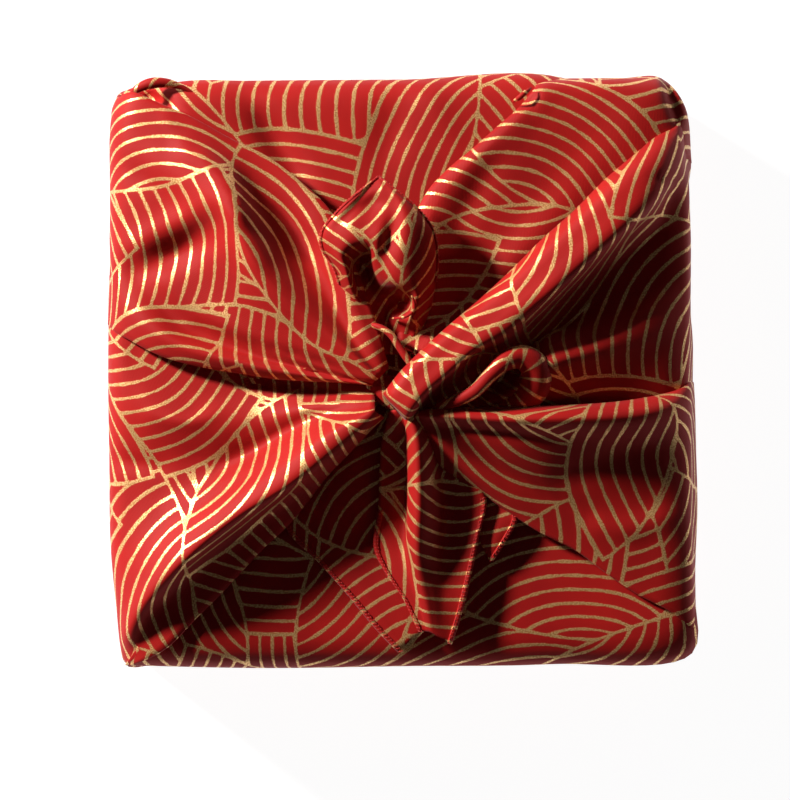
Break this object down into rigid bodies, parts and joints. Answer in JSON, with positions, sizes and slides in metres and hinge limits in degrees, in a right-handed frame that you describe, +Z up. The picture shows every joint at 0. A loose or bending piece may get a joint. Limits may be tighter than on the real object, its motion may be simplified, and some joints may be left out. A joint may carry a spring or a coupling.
{
  "type": "fabric gift wrap",
  "caption": "Square printed cotton cloth tied round a flat box, its two free ends knotted on top.",
  "frame": {"origin": "middle of the flat face that the parcel rests on", "axes": "+Z up through the knot, +X to the parcel's right and +Y to its back, seen from above with the free ends up and down"},
  "size_m": [0.2546, 0.257, 0.1095],
  "materials": {
    "printed_cotton": "fine twill cotton with a soft sheen and metallic gold printed lines"
  },
  "bodies": {
    "root": {"gift_wrap": "printed_cotton"}
  },
  "joints": []
}
